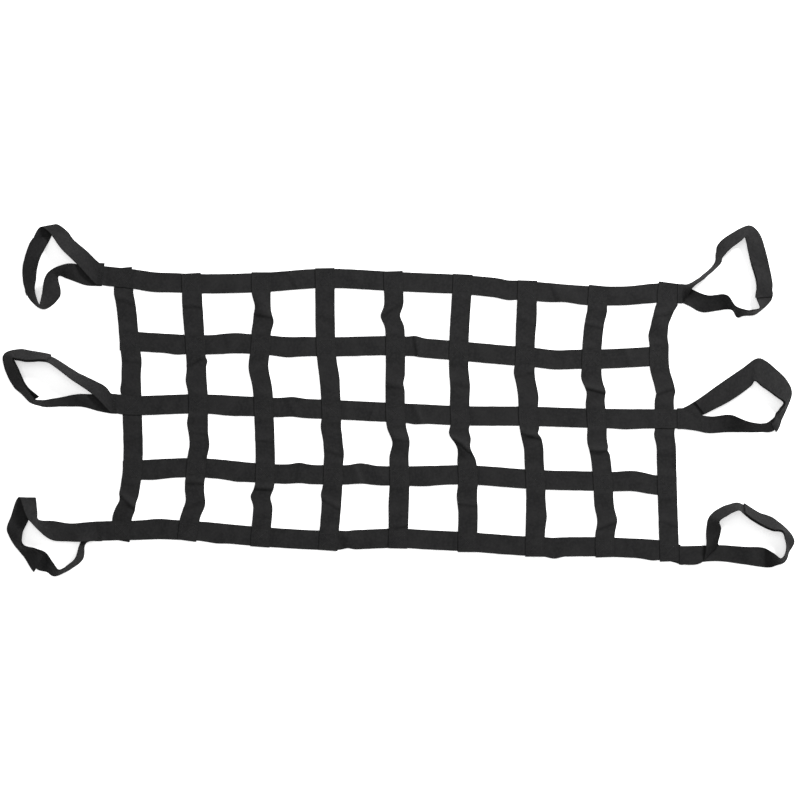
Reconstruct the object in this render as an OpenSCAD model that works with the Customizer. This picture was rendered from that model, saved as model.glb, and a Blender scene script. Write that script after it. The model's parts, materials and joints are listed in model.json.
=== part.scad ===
// Webbing net with hook-and-loop ties, laid out flat.
// Five long straps run along X and nine cross straps are sewn on top of them.
// Long straps 1, 3 and 5 end in a tie: two arms that close on each other into a loop.
// Millimetres, +Z up, origin at the centre of the footprint, on the surface it lies on.

/* [Webbing] */
// Width of every strap
strap_w = 38; // [34:1:38]
// Thickness of one layer of webbing
strap_t = 1.5; // [1.2:0.1:1.6]

/* [Hook and loop] */
// Thickness of the hook tape, and of the loop tape
tape_t = 1; // [0.8:0.1:1]

/* [Stitching] */
// Side of the square sewn at each crossing
box_side = 26; // [20:1:28]
// Width of a line of stitching
thread_w = 1; // [0.6:0.1:1.4]
// How far a line of stitching stands above the webbing
thread_h = 0.3; // [0.2:0.1:0.4]

/* [Fold] */
// Where the net folds in two, along X from the origin
fold_x = 57; // [50:1:62]

/* [Hidden] */
rows = [1, 2, 3, 4, 5];
columns = [1, 2, 3, 4, 5, 6, 7, 8, 9];
tie_rows = [1, 3, 5];
sides = ["left", "right"];
last_left_column = 5;

// the net is sewn 38 mm wide, and the tie points below are for that width
drawn_w = 38;
// clearance on each side of a line that a body turns about
hinge_gap = 1;
// a cross strap's cut end stands this far past the long strap under it
end_past = 1;
// clearance between sewn layers of one body
sewn_gap = 0.05;
// clearance between closed hook tape and loop tape
closed_gap = 0.3;
// lines of stitching across the end of a long strap: one on the right, where less of it shows
left_seams = 3;
right_seams = 1;
seam_pitch = 4;
seam_from_end = 1.5;
seam_inset = 4;

// X of cross straps 1 to 9, where each meets long straps 1 to 5
column_x = [
    [-536, -524, -519, -518, -539],
    [-403, -396, -390, -394, -410],
    [-268, -268, -263, -260, -269],
    [-144, -142, -131, -128, -137],
    [-11, -7, -7, 1, -2],
    [123, 116, 119, 134, 133],
    [249, 245, 251, 265, 264],
    [386, 374, 384, 396, 400],
    [521, 505, 517, 521, 525]
];

// Y of long straps 1 to 5, where each meets cross straps 1 to 9
row_y = [
    [238, 227, 229, 237, 231, 225, 213, 203, 209],
    [115, 108, 108, 104, 106, 96, 85, 80, 86],
    [-10, -7, -13, -18, -24, -30, -31, -35, -36],
    [-136, -131, -142, -145, -147, -145, -154, -158, -167],
    [-253, -253, -265, -272, -268, -275, -284, -285, -293]
];

// A tie's root is where its arms leave the end of a long strap.
// Its stations go round the loop from the root of the loop arm to the root of the hook arm.
// Each station is a line across the strap: a point on one edge and a point on the other,
// as [outward from the root, Y from the root, height].
// Each tie is [root, tip of the tab, hinge of the tab, end of the loop arm, stations],
// where the three middle values number stations from 0.
tie_1_left = [[-585, 243], 5, 7, 8, [
    [[2, 19, 4], [2, -19, 4]],
    [[22, 48, 3], [38, 20, 16]],
    [[47, 69, 2], [68, 51, 28]],
    [[60, 86, 3], [92, 82, 17]],
    [[66, 94, 4], [112, 93, 5]],
    [[91, 74, 2], [126, 72, 1]],
    [[108, 32, 24], [137, 43, 1]],
    [[115, 2, 25], [144, 6, 1]],
    [[113, -32, 33], [133, -40, 1]],
    [[107, -57, 38], [105, -64, 1]],
    [[106, -39, 20], [74, -42, 1]],
    [[91, 3, 36], [77, -2, 1]],
    [[58, 21, 22], [59, -7, 1]],
    [[18, 17, 2], [22, -20, 1]],
    [[2, 17, 1], [2, -21, 1]]
]];
tie_3_left = [[-556, -6], 4, 6, 11, [
    [[2, 19, 4], [2, -19, 4]],
    [[16, 34, 2], [33, 14, 16]],
    [[70, 61, 1], [80, 45, 34]],
    [[103, 82, 1], [111, 69, 35]],
    [[120, 91, 1], [124, 80, 36]],
    [[159, 99, 1], [161, 80, 34]],
    [[181, 102, 1], [181, 83, 34]],
    [[209, 94, 1], [186, 84, 30]],
    [[206, 65, 1], [179, 69, 27]],
    [[189, 33, 1], [166, 41, 29]],
    [[173, 19, 1], [154, 24, 32]],
    [[159, 5, 1], [143, 11, 33]],
    [[138, -4, 1], [134, 8, 36]],
    [[101, -6, 1], [99, 11, 34]],
    [[58, -7, 1], [64, 18, 26]],
    [[29, -15, 1], [37, 18, 6]],
    [[2, -20, 1], [2, 17, 1]]
]];
tie_5_left = [[-585, -254], 7, 9, 10, [
    [[2, 18, 1], [2, -20, 1]],
    [[23, 0, 1], [14, -20, 1]],
    [[34, -25, 12], [25, -26, 1]],
    [[38, -49, 36], [29, -54, 1]],
    [[51, -62, 36], [47, -70, 1]],
    [[72, -72, 30], [85, -88, 1]],
    [[83, -59, 26], [99, -80, 1]],
    [[101, -41, 6], [119, -74, 1]],
    [[119, -32, 20], [142, -48, 1]],
    [[141, -24, 24], [163, -20, 1]],
    [[141, -2, 16], [175, 2, 1]],
    [[131, 29, 2], [168, 31, 1]],
    [[121, 65, 4], [153, 66, 5]],
    [[118, 39, 2], [132, 28, 30]],
    [[115, 22, 2], [105, -2, 26]],
    [[88, 20, 2], [88, -17, 10]],
    [[53, 15, 2], [55, -20, 8]],
    [[27, 17, 4], [29, -20, 16]],
    [[2, 19, 4], [2, -19, 4]]
]];
tie_1_right = [[548, 207], 8, 10, 11, [
    [[2, -18, 1], [2, 18, 1]],
    [[16, -24, 1], [19, 10, 1]],
    [[41, -36, 1], [48, -3, 14]],
    [[97, -31, 1], [86, -4, 25]],
    [[109, -46, 1], [102, -25, 27]],
    [[121, -43, 1], [121, -33, 37]],
    [[144, -40, 1], [138, -32, 36]],
    [[171, -18, 1], [148, -27, 27]],
    [[178, -6, 1], [144, -10, 16]],
    [[176, 19, 1], [143, 21, 16]],
    [[170, 54, 1], [135, 54, 10]],
    [[161, 90, 1], [126, 83, 12]],
    [[148, 122, 1], [121, 104, 18]],
    [[134, 133, 1], [119, 107, 26]],
    [[111, 125, 1], [112, 101, 31]],
    [[73, 98, 1], [90, 84, 32]],
    [[68, 79, 1], [75, 68, 36]],
    [[66, 61, 1], [73, 56, 37]],
    [[35, 31, 1], [43, 26, 37]],
    [[14, 19, 4], [19, 10, 22]],
    [[2, 19, 4], [2, -19, 4]]
]];
tie_3_right = [[548, -36], 1, 2, 10, [
    [[2, 21, 1], [2, -15, 1]],
    [[25, 33, 1], [44, 8, 2]],
    [[74, 67, 1], [95, 35, 8]],
    [[121, 99, 1], [135, 64, 10]],
    [[148, 117, 1], [142, 73, 12]],
    [[164, 112, 1], [154, 63, 12]],
    [[183, 96, 1], [165, 55, 16]],
    [[204, 74, 1], [183, 41, 20]],
    [[212, 54, 1], [194, 32, 24]],
    [[204, 26, 1], [186, 19, 28]],
    [[178, -20, 1], [164, -2, 30]],
    [[153, -24, 1], [150, -7, 33]],
    [[123, -26, 1], [123, -4, 30]],
    [[90, -26, 1], [94, 8, 16]],
    [[53, -28, 2], [59, 5, 4]],
    [[27, -23, 4], [29, 9, 4]],
    [[2, -20, 4], [2, 18, 4]]
]];
tie_5_right = [[548, -300], 7, 9, 11, [
    [[2, -19, 4], [2, 17, 4]],
    [[41, -13, 5], [69, 17, 5]],
    [[47, 17, 12], [69, 26, 22]],
    [[49, 48, 1], [73, 52, 30]],
    [[55, 74, 1], [70, 67, 33]],
    [[76, 91, 1], [85, 78, 34]],
    [[108, 101, 1], [108, 88, 35]],
    [[119, 98, 1], [116, 81, 34]],
    [[148, 80, 1], [139, 64, 33]],
    [[177, 69, 1], [169, 49, 31]],
    [[208, 42, 1], [190, 45, 30]],
    [[217, 26, 1], [194, 31, 26]],
    [[208, 5, 1], [196, 12, 33]],
    [[202, -14, 1], [189, -5, 30]],
    [[185, -21, 1], [176, 4, 26]],
    [[171, -25, 1], [162, 13, 6]],
    [[123, -19, 1], [123, 16, 8]],
    [[76, -13, 1], [76, 19, 3]],
    [[43, -14, 1], [43, 18, 2]],
    [[2, -20, 1], [2, 17, 1]]
]];
left_ties = [tie_1_left, tie_3_left, tie_5_left];
right_ties = [tie_1_right, tie_3_right, tie_5_right];

// one number for each tie: 0 to 2 down the left side, 3 to 5 down the right side
ties = concat(left_ties, right_ties);
tie_names = [for (s = sides) for (r = tie_rows) str(r, "_", s)];
tie_count = len(ties);

webbing = [0.16, 0.16, 0.17];
pile = [0.11, 0.11, 0.12];
thread = [0.24, 0.24, 0.25];

// heights of the layers of a closed tie above the middle of the loop arm
loop_tape_lift = (strap_t + tape_t) / 2 + sewn_gap;
hook_tape_lift = loop_tape_lift + tape_t + closed_gap;
hook_arm_lift = hook_tape_lift + (strap_t + tape_t) / 2 + sewn_gap;

function unit(v) = v / norm(v);
function between(a, b, share) = a + (b - a) * share;

// ---- flat straps ----

// a flat strap's outline along a list of points, with its ends cut along Y if along_y is true
function across(p, i, along_y) =
    let (d = p[min(i + 1, len(p) - 1)] - p[max(i - 1, 0)])
    along_y && (i == 0 || i == len(p) - 1) ? [0, 1] : unit([-d[1], d[0]]);
function edge(p, side, along_y) =
    [for (i = [0:len(p) - 1]) p[i] + across(p, i, along_y) * side * strap_w / 2];
function outline(p, along_y) =
    let (low = edge(p, -1, along_y))
    concat(edge(p, 1, along_y), [for (i = [len(p) - 1:-1:0]) low[i]]);

module flat_strap(points, level, along_y = false) {
    color(webbing)
        translate([0, 0, level * strap_t])
        linear_extrude(strap_t)
        polygon(outline(points, along_y));
}

function crossing(r, c) = [column_x[c - 1][r - 1], row_y[r - 1][c - 1]];
function row_angle(r, c) =
    let (a = crossing(r, max(c - 1, 1)), b = crossing(r, min(c + 1, 9)), d = b - a)
    atan2(d[1], d[0]);

// where long strap r would reach X = x, between crossings c and c + 1
function on_row(r, c, x) =
    let (a = crossing(r, c), b = crossing(r, c + 1)) between(a, b, (x - a[0]) / (b[0] - a[0]));

function has_tie(r) = len(search(r, tie_rows)) > 0;
function tie_index(r) = search(r, tie_rows)[0];
function left_end(r) = has_tie(r)
    ? left_ties[tie_index(r)][0] + [hinge_gap, 0]
    : on_row(r, 1, crossing(r, 1)[0] - strap_w / 2);
function right_end(r) = has_tie(r)
    ? right_ties[tie_index(r)][0] - [hinge_gap, 0]
    : on_row(r, 8, crossing(r, 9)[0] + strap_w / 2);

module long_strap(r, side) {
    middle = last_left_column;
    if (side == "left")
        flat_strap(concat(
            [left_end(r)],
            [for (c = [1:middle]) crossing(r, c)],
            [on_row(r, middle, fold_x - hinge_gap)]
        ), 0, along_y = true);
    else
        flat_strap(concat(
            [on_row(r, middle, fold_x + hinge_gap)],
            [for (c = [middle + 1:9]) crossing(r, c)],
            [right_end(r)]
        ), 0, along_y = true);
}

module cross_strap(c) {
    reach = strap_w / 2 + end_past;
    top = crossing(1, c) + unit(crossing(1, c) - crossing(2, c)) * reach;
    bottom = crossing(5, c) + unit(crossing(5, c) - crossing(4, c)) * reach;
    flat_strap(concat([top], [for (r = rows) crossing(r, c)], [bottom]), 1);
}

// ---- stitching ----

module stitch_line(length) square([length, thread_w], center = true);

module box_stitch() {
    for (turn = [0, 90]) rotate(turn)
        for (s = [-1, 1]) translate([0, s * (box_side - thread_w) / 2]) stitch_line(box_side);
    for (turn = [-45, 45]) rotate(turn) stitch_line((box_side - thread_w) * sqrt(2));
}

module box_stitching(side) {
    first = side == "left" ? 1 : last_left_column + 1;
    last = side == "left" ? last_left_column : 9;
    color(thread) for (c = [first:last]) for (r = rows)
        translate([crossing(r, c)[0], crossing(r, c)[1], 2 * strap_t])
        rotate(row_angle(r, c))
        linear_extrude(thread_h)
        box_stitch();
}

module seam_stitching(side) {
    inward = side == "left" ? 1 : -1;
    lines = side == "left" ? left_seams : right_seams;
    color(thread) for (r = tie_rows) for (n = [0:lines - 1]) {
        end = side == "left" ? left_end(r) : right_end(r);
        step = inward * (seam_from_end + n * seam_pitch);
        translate([end[0] + step, end[1], strap_t])
            linear_extrude(thread_h)
            square([thread_w, strap_w - 2 * seam_inset], center = true);
    }
}

// ---- ties ----

// a tie's station i in the frame of the net, at the strap's own width
function placed(root, out, p) = [root[0] + out * p[0], root[1] + p[1], p[2]];
function widened(s) =
    let (m = (s[0] + s[1]) / 2, h = (s[1] - s[0]) / 2 * strap_w / drawn_w) [m - h, m + h];
function stations(tie, out) =
    [for (s = tie[4]) widened([placed(tie[0], out, s[0]), placed(tie[0], out, s[1])])];

function middle_of(s) = (s[0] + s[1]) / 2;
function heading(s, i) =
    let (n = len(s) - 1, m = middle_of(s[i]))
    let (back = i > 0 ? unit(m - middle_of(s[i - 1])) : [0, 0, 0])
    let (ahead = i < n ? unit(middle_of(s[i + 1]) - m) : [0, 0, 0])
    back + ahead;
function face(s, i) = unit(cross(heading(s, i), s[i][1] - s[i][0]));

// +1 or -1: the side of the strap that the hook arm lies on, which faces up at the tab's hinge
function upper_side(tie, s) = sign(face(s, tie[2])[2]);

// the station at a whole or part number, lifted off the strap's middle
function station_at(s, at, lift) =
    let (i = min(floor(at), len(s) - 2), share = at - i)
    let (a = between(s[i][0], s[i + 1][0], share), b = between(s[i][1], s[i + 1][1], share))
    let (n = unit(between(face(s, i), face(s, i + 1), share)))
    [a + n * lift, b + n * lift, n];

// four corners of the ribbon at a station
function corners(st, half, up) =
    let (n = st[2] * half * up)
    [st[0] + n, st[1] + n, st[1] - n, st[0] - n];

// side k of the ribbon between two stations, as two triangles cut along the same diagonal
// above and below, so the strap keeps its thickness where it twists
function panel(first, k) =
    let (a = first + k, b = first + (k + 1) % 4, c = b + 4, d = a + 4)
    k == 2 ? [[a, b, d], [b, c, d]] : [[a, b, c], [a, c, d]];

module ribbon(sections, up) {
    rings = [for (st = sections) corners(st[0], st[1] / 2, up)];
    last = len(rings) - 1;
    turned = cross(rings[1][0] - rings[0][0], rings[0][1] - rings[0][0])
        * (rings[0][0] - rings[0][3]) > 0;
    skin = concat(
        [[2, 1, 0], [3, 2, 0]],
        [for (i = [0:last - 1]) for (k = [0:3]) for (t = panel(4 * i, k)) t],
        [[for (k = [0, 1, 2]) 4 * last + k], [for (k = [0, 2, 3]) 4 * last + k]]
    );
    polyhedron(
        points = [for (ring = rings) for (p = ring) p],
        faces = turned ? skin : [for (f = skin) [for (k = [len(f) - 1:-1:0]) f[k]]]
    );
}

// numbers from first to last: first, the whole numbers between, and last
function steps(first, last) =
    concat([first], [for (i = [floor(first) + 1:ceil(last) - 1]) i], [last]);

// how far the hook arm lies off the loop arm, falling away past the loop arm's end
function arm_lift(tie, at) =
    let (past = at - tie[3]) past <= 0 ? hook_arm_lift : past >= 2 ? 0 : hook_arm_lift * (1 - past / 2);

// a short way along a tie from station i, as a part number
function gap_share(s, i, way) =
    let (a = middle_of(s[i]), b = middle_of(s[i + way])) way * hinge_gap / 2 / norm(b - a);

module tie_piece(k, piece) {
    tie = ties[k];
    s = stations(tie, k < 3 ? -1 : 1);
    up = upper_side(tie, s);
    tip = tie[1];
    hinge = tie[2];
    tab_end = hinge + gap_share(s, hinge, -1);
    arm_start = hinge + gap_share(s, hinge, 1);
    if (piece == "loop_arm")
        color(webbing)
        ribbon([for (at = steps(0, tie[3])) [station_at(s, at, 0), strap_t]], up);
    if (piece == "loop_tape")
        color(pile)
        ribbon([for (at = steps(tip, tie[3]))
            [station_at(s, at, up * loop_tape_lift), tape_t]], up);
    if (piece == "hook_arm")
        color(webbing)
        ribbon([for (at = steps(arm_start, len(s) - 1))
            [station_at(s, at, up * arm_lift(tie, at)), strap_t]], up);
    if (piece == "hook_tab")
        color(webbing)
        ribbon([for (at = steps(tip, tab_end))
            [station_at(s, at, up * hook_arm_lift), strap_t]], up);
    if (piece == "hook_tape")
        color(pile)
        ribbon([for (at = steps(tip, tab_end))
            [station_at(s, at, up * hook_tape_lift), tape_t]], up);
}

for (s = sides) for (r = rows)
    long_strap(r, s);
for (c = columns)
    cross_strap(c);
for (s = sides) {
    box_stitching(s);
    seam_stitching(s);
}
for (k = [0:tie_count - 1])
    for (piece = ["loop_arm", "loop_tape", "hook_arm", "hook_tab", "hook_tape"])
        tie_piece(k, piece);
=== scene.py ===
"""A webbing net with hook-and-loop ties, laid out flat and seen from straight above."""

import json
import math
import random

import bmesh
import bpy
import numpy as np
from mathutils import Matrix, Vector


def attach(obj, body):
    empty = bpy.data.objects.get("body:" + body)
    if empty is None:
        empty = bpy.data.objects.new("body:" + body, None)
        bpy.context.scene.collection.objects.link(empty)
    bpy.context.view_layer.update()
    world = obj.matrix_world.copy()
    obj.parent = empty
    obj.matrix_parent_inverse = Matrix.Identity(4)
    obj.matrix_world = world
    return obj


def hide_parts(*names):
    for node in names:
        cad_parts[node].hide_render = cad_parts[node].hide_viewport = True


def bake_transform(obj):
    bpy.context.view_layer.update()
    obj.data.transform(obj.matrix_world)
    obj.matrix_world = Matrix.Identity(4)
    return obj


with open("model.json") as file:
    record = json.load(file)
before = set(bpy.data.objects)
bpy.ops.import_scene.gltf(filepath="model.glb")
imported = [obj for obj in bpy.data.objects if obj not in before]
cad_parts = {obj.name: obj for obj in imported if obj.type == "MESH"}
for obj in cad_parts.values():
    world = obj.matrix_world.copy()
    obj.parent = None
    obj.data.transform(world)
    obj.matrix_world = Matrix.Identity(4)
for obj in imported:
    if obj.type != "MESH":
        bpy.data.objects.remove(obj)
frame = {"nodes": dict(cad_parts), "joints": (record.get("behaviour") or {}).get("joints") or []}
bpy.context.view_layer.update()

# ---- sizes, in metres ----

WIDTH = 0.038
THICK = 0.0015
HALF_WIDTH, HALF_THICK = WIDTH / 2, THICK / 2
TAPE_WIDTH = 0.037
TAPE_THICK = 0.001
STEP = 0.0023  # length of one panel of a strap's mesh
LAYER_GAP = 0.0001  # between two sewn layers
CUT_END = 1.15  # how much thicker than the rest a cut end is
STATION_GAP = 0.012  # two stations of a flat strap in the CAD are further apart than this
CORNER_GRID = 1e6  # corners that round to the same step of 1 / this are one corner

ROWS = range(1, 6)
COLUMNS = range(1, 10)
LAST_LEFT = 5  # cross straps up to this one are on the left half
# crossings where the long strap lies over the cross strap
LONG_ON_TOP = {(1, 1), (3, 1), (5, 1), (3, 9)}

# across a strap from one edge to the other: how far from the middle, and half the thickness there
EDGE_PROFILE = [(0.0190, 0.0), (0.0189, 0.0004), (0.0185, 0.00072), (0.0177, 0.00084), (0.0166, 0.00070)]
FLAT_PROFILE = [(0.0125, 0.00075), (0.0083, 0.00075), (0.0042, 0.00075)]
STRAP_PROFILE = (
    [(-x, h) for x, h in EDGE_PROFILE + FLAT_PROFILE]
    + [(0.0, HALF_THICK)]
    + [(x, h) for x, h in reversed(EDGE_PROFILE + FLAT_PROFILE)]
)
TAPE_HALF = [(0.0185, 0.0), (0.0182, 0.0004), (0.0170, 0.0005), (0.0115, 0.0005), (0.0058, 0.0005)]
TAPE_PROFILE = [(-x, h) for x, h in TAPE_HALF] + [(0.0, 0.0005)] + [(x, h) for x, h in reversed(TAPE_HALF)]


def smooth(x, low, high):
    """0 up to low, 1 from high, and a smooth rise between."""
    t = np.clip((np.asarray(x, float) - low) / (high - low), 0.0, 1.0)
    return t * t * (3 - 2 * t)


def unit(v):
    v = np.asarray(v, float)
    return v / np.maximum(np.linalg.norm(v, axis=-1, keepdims=True), 1e-12)


# ---- places, read from the CAD nodes ----


def corners(node):
    """A node's distinct corners, and for each one the corners that it shares an edge with."""
    mesh = frame["nodes"][node].data
    seen, index = {}, []
    for v in mesh.vertices:
        index.append(seen.setdefault(tuple(round(c * CORNER_GRID) for c in v.co), len(seen)))
    points = np.array(list(seen), float) / CORNER_GRID
    links = [set() for _ in points]
    for e in mesh.edges:
        a, b = (index[i] for i in e.vertices)
        if a != b:
            links[a].add(b)
            links[b].add(a)
    return points, links


def flat_stations(node, axis):
    """Middle of a flat strap wherever its outline turns, in order along an axis."""
    points, _ = corners(node)
    order = points[np.argsort(points[:, axis])]
    cuts = np.where(np.diff(order[:, axis]) > STATION_GAP)[0] + 1
    return [g.mean(0) for g in np.split(order, cuts)]


def rulings(node, near):
    """A ribbon's lines from edge to edge, from the end nearest to a point: one pair of points each."""
    points, links = corners(node)
    layer = list(np.argsort(np.linalg.norm(points - near, axis=1))[:4])
    used, found = set(layer), []
    while layer:
        p = points[layer]
        pairs = min(
            (((0, 1), (2, 3)), ((0, 2), (1, 3)), ((0, 3), (1, 2))),
            key=lambda q: sum(np.linalg.norm(p[a] - p[b]) for a, b in q),
        )
        found.append([(p[a] + p[b]) / 2 for a, b in pairs])
        layer = sorted({k for i in layer for k in links[i]} - used)
        used.update(layer)
    return same_way(np.array(found))


def same_way(pairs):
    """Swaps the ends of a line from edge to edge where it points against the line before it."""
    pairs = pairs.copy()
    for i in range(1, len(pairs)):
        if np.dot(pairs[i, 1] - pairs[i, 0], pairs[i - 1, 1] - pairs[i - 1, 0]) < 0:
            pairs[i] = pairs[i, ::-1]
    return pairs


def joint(name):
    return next(j for j in frame["joints"] if j["name"] == name)


# ---- smooth lines through points ----


FINE_SHARE = 60  # points to a station while the length of a curve is measured


def through(points, guide, step):
    """A smooth curve through rows of points, in equal steps of about the given length.

    points is one row of numbers for each station, and guide the place of each station.
    Returns the curve, the station that each of its points is at, in parts, and how far along it is."""
    points = np.asarray(points, float)
    n = len(points)
    knots = np.concatenate([[0], np.cumsum(np.sqrt(np.linalg.norm(np.diff(guide, axis=0), axis=1)))])
    slopes = np.empty_like(points)
    for i in range(n):
        a, b = max(i - 1, 0), min(i + 1, n - 1)
        if 0 < i < n - 1:
            h0, h1 = knots[i] - knots[a], knots[b] - knots[i]
            d0, d1 = (points[i] - points[a]) / h0, (points[b] - points[i]) / h1
            slopes[i] = (d0 * h1 + d1 * h0) / (h0 + h1)
        else:
            slopes[i] = (points[b] - points[a]) / (knots[b] - knots[a])

    def at(t):
        i = np.clip(np.searchsorted(knots, t, side="right") - 1, 0, n - 2)
        h = (knots[i + 1] - knots[i])[:, None]
        u = ((t - knots[i]) / h[:, 0])[:, None]
        value = (
            (1 + 2 * u) * (1 - u) ** 2 * points[i]
            + u * (1 - u) ** 2 * h * slopes[i]
            + u * u * (3 - 2 * u) * points[i + 1]
            + u * u * (u - 1) * h * slopes[i + 1]
        )
        return value, i + u[:, 0]

    fine = np.linspace(0, knots[-1], FINE_SHARE * n)
    line, _ = at(fine)
    middle = line if line.shape[1] <= 3 else (line[:, :3] + line[:, 3:6]) / 2
    run = np.concatenate([[0], np.cumsum(np.linalg.norm(np.diff(middle, axis=0), axis=1))])
    count = max(int(run[-1] / step), 4) + 1
    t = np.interp(np.linspace(0, run[-1], count), run, fine)
    value, number = at(t)
    return value, number, np.linspace(0, run[-1], count)


# ---- small irregular waves ----


LENGTH_SPREAD = (0.8, 1.25)  # a wave's length, as a share of the length asked for


class Waves:
    """Sums of sine waves of about the given lengths along a strap, which lean as they cross it.

    They stay between -1 and 1, and are the same on every run."""

    def __init__(self, seed, lengths, slant=0.6):
        rng = random.Random(seed)
        turn = 2 * math.pi
        self.parts = [
            (turn / (n * rng.uniform(*LENGTH_SPREAD)), rng.uniform(-slant, slant), rng.uniform(0, turn))
            for n in lengths
            for _ in range(2)
        ]

    def __call__(self, s, x):
        return sum(np.sin(k * (s + lean * x) + phase) for k, lean, phase in self.parts) / len(self.parts)


# ---- straps as meshes ----


def panel_grid(rows, columns):
    """The four corners' numbers of each panel of a grid of points."""
    i, j = np.meshgrid(np.arange(rows - 1), np.arange(columns - 1), indexing="ij")
    a = (i * columns + j).ravel()
    return np.stack([a, a + 1, a + columns + 1, a + columns], axis=1)


def grid_normals(grid):
    """The way that a grid of points faces, at each point."""
    along = np.gradient(grid, axis=0)
    across = np.gradient(grid, axis=1)
    return unit(np.cross(across, along))


def ribbon(name, grid, normals, profile, run, ends=(1.0, 1.0)):
    """A strap's mesh: its middle surface as a grid of points, given its thickness by the profile.

    ends is how much thicker than the rest each cut end is."""
    rows, columns = grid.shape[:2]
    x = np.array([p[0] for p in profile])
    half = np.tile(np.array([p[1] for p in profile]), (rows, 1))
    half[0] *= ends[0]
    half[-1] *= ends[1]
    top = grid + normals * half[..., None]
    low = grid - normals * half[..., None]
    flat = np.concatenate([top.reshape(-1, 3), low.reshape(-1, 3)])
    count = rows * columns
    faces = panel_grid(rows, columns)
    under = faces[:, ::-1] + count
    faces = np.concatenate([faces, under])
    # the two edges of the profile have no thickness, so their upper and lower points are one
    merge = np.arange(2 * count)
    edge = np.concatenate([np.arange(rows) * columns, np.arange(rows) * columns + columns - 1])
    merge[edge + count] = edge
    faces = merge[faces]
    # the two cut ends
    caps = []
    for r, way in ((0, -1), (rows - 1, 1)):
        for j in range(columns - 1):
            a, b = r * columns + j, r * columns + j + 1
            quad = [a, b, merge[b + count], merge[a + count]]
            quad = [q for k, q in enumerate(quad) if q != quad[k - 1]]
            caps.append([int(q) for q in quad[::way]])
    faces = faces.tolist() + caps
    used = sorted({i for f in faces for i in f})
    number = {old: new for new, old in enumerate(used)}
    mesh = bpy.data.meshes.new(name)
    mesh.from_pydata(flat[used].tolist(), [], [[number[i] for i in f] for f in faces])
    u, v = np.meshgrid(x, run)
    place = np.stack([u.ravel(), v.ravel()], axis=1)
    place = np.concatenate([place, place])[used]
    layer = mesh.uv_layers.new(name="Along")
    loops = np.empty(len(mesh.loops), int)
    mesh.loops.foreach_get("vertex_index", loops)
    layer.data.foreach_set("uv", place[loops].astype(np.float32).ravel())
    rounded = np.ones(len(mesh.polygons), bool)
    rounded[-len(caps):] = False
    mesh.polygons.foreach_set("use_smooth", rounded)
    mesh.update()
    obj = bpy.data.objects.new(name, mesh)
    bpy.context.collection.objects.link(obj)
    return obj


def face_outwards(obj):
    """Turns a closed mesh's faces outwards, and keeps flat cut ends from shading the faces beside them."""
    bm = bmesh.new()
    bm.from_mesh(obj.data)
    bmesh.ops.recalc_face_normals(bm, faces=bm.faces)
    for e in bm.edges:
        if len({f.smooth for f in e.link_faces}) == 2:
            e.smooth = False
    bm.to_mesh(obj.data)
    bm.free()


# How a strap that lies flat rises and waves, in metres. Distances past a crossing are from the edge of
# the strap that is crossed.
RISE = (0.0005, 0.0150)  # an upper strap starts down at the first of these and lies flat from the second
HELD = (-0.004, 0.012)  # cloth is held flat up to the first of these and is loose from the second
STACK_RAMP = 0.010  # length of the way up to an arm that lies under the strap's end
BROAD_WAVE, FINE_WAVE, SLACK = 0.00075, 0.00022, 0.9
NAP_WAVE, NAP_CLOSER = 0.00006, 1.7  # the waves that are left where cloth is held, and how much closer
CREASE_SOONER = 1.5  # how much sooner past a crossing than it waves the cloth can crease
EDGE_WANDER = 0.010  # how far an edge wanders, as a share of its distance from the middle
CUT_REACH = (0.004, 0.024)  # from a cut end, where the rulings turn from the cut's way to square


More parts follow.
